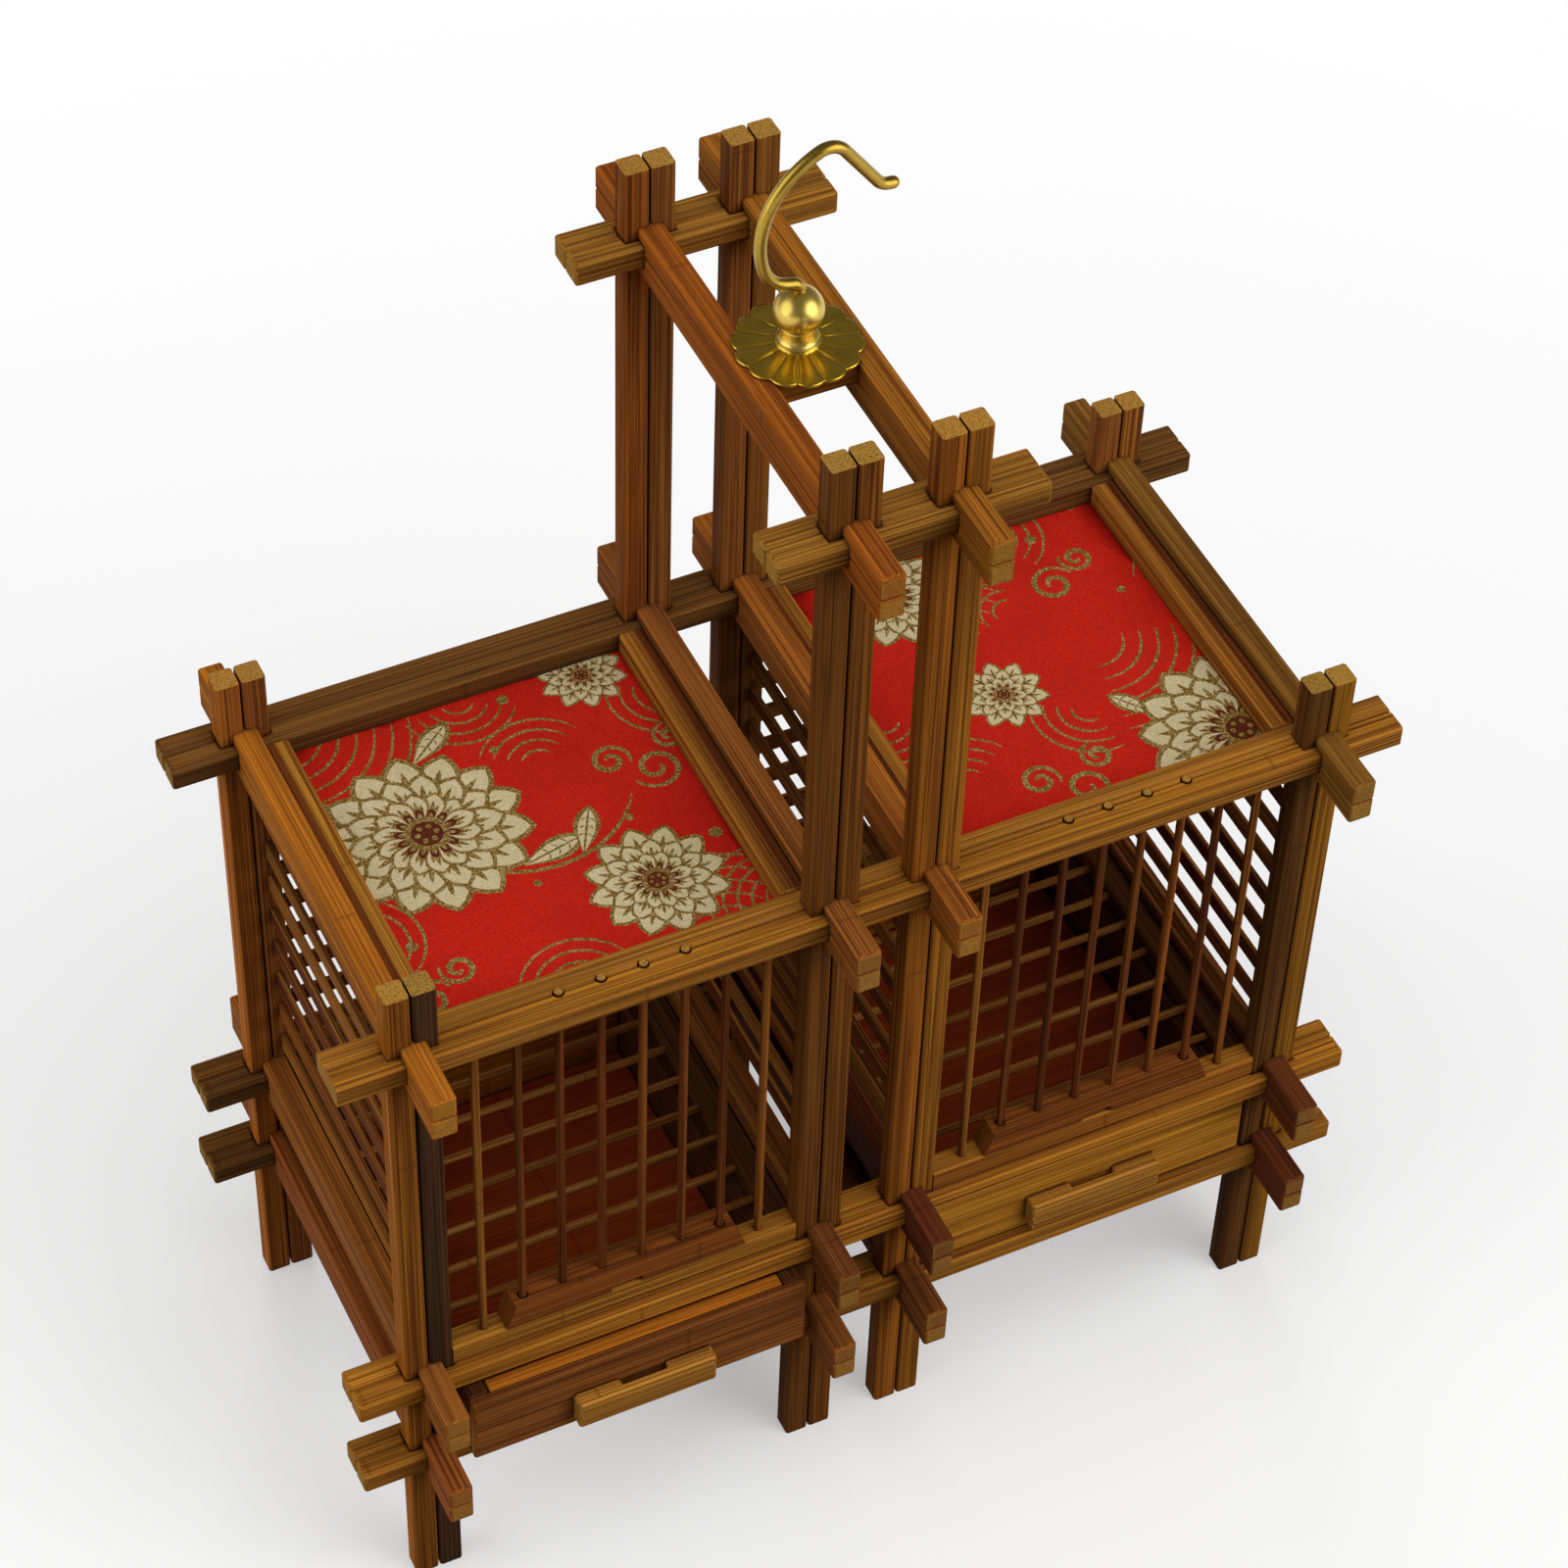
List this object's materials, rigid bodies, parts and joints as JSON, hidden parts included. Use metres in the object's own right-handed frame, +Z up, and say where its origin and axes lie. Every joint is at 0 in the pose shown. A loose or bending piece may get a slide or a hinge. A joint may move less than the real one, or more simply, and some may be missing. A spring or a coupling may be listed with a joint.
{
  "type": "cricket cage",
  "caption": "Bamboo cricket cage with side-by-side chambers, slatted walls, lift-up barred doors, pull-out drawers, cloth-covered tops and a brass hanging hook on its handle.",
  "frame": {"origin": "on the ground under the middle of the cage, at the level of the feet", "axes": "+X to the right along the front, +Y towards the rear, +Z up"},
  "size_m": [0.265, 0.1426, 0.3705],
  "materials": {
    "bamboo": "satin",
    "red_bamboo": "satin",
    "pale_bamboo": "satin",
    "cloth": "matte",
    "brass": "polished"
  },
  "bodies": {
    "frame": {"post_front_left_outer": "bamboo", "post_front_left_inner": "bamboo", "post_front_right_inner": "bamboo", "post_front_right_outer": "bamboo", "post_rear_left_outer": "bamboo", "post_rear_left_inner": "bamboo", "post_rear_right_inner": "bamboo", "post_rear_right_outer": "bamboo", "front_base_rail": "bamboo", "front_floor_rail": "bamboo", "front_top_rail": "bamboo", "rear_base_rail": "bamboo", "rear_floor_rail": "bamboo", "rear_top_rail": "bamboo", "handle_end_rails": "bamboo", "left_base_side_rails": "bamboo", "left_floor_side_rails": "bamboo", "left_top_side_rails": "bamboo", "right_base_side_rails": "bamboo", "right_floor_side_rails": "bamboo", "right_top_side_rails": "bamboo", "handle_grip_rails": "bamboo", "left_outer_slats": "red_bamboo", "left_inner_slats": "red_bamboo", "right_inner_slats": "red_bamboo", "right_outer_slats": "red_bamboo", "left_rear_slats": "red_bamboo", "right_rear_slats": "red_bamboo", "left_floor_bars": "pale_bamboo", "right_floor_bars": "pale_bamboo", "floor_strips": "bamboo", "drawer_runners": "bamboo", "door_sills": "bamboo", "left_still_bars": "red_bamboo", "right_still_bars": "red_bamboo", "left_panel_board": "bamboo", "right_panel_board": "bamboo", "left_panel_cloth": "cloth", "right_panel_cloth": "cloth", "left_panel_strips": "bamboo", "right_panel_strips": "bamboo", "hook_block": "bamboo", "hook_rosette": "brass"},
    "left_door": {"left_door_strip": "red_bamboo", "left_door_bars": "red_bamboo"},
    "right_door": {"right_door_strip": "red_bamboo", "right_door_bars": "red_bamboo"},
    "left_drawer": {"left_drawer_face": "red_bamboo", "left_drawer_walls": "bamboo", "left_drawer_bottom": "red_bamboo", "left_drawer_pull": "pale_bamboo"},
    "right_drawer": {"right_drawer_face": "pale_bamboo", "right_drawer_walls": "bamboo", "right_drawer_bottom": "red_bamboo", "right_drawer_pull": "pale_bamboo"},
    "hook": {"hook_ball": "brass", "hook_wire": "brass", "hook_nut": "brass"}
  },
  "joints": [
    {"name": "left_door_lift", "type": "slide", "parent": "frame", "child": "left_door", "axis": [0, 0, 1], "range_m": [0, 0.0975]},
    {"name": "right_door_lift", "type": "slide", "parent": "frame", "child": "right_door", "axis": [0, 0, 1], "range_m": [0, 0.0975]},
    {"name": "left_drawer_slide", "type": "slide", "parent": "frame", "child": "left_drawer", "axis": [0, -1, 0], "range_m": [-0.0084, 0.0666]},
    {"name": "right_drawer_slide", "type": "slide", "parent": "frame", "child": "right_drawer", "axis": [0, -1, 0], "range_m": [0, 0.075]},
    {"name": "hook_swivel", "type": "hinge", "parent": "frame", "child": "hook", "pos_m": [0, 0, 0.318], "axis": [0, 0, 1], "continuous": true}
  ]
}
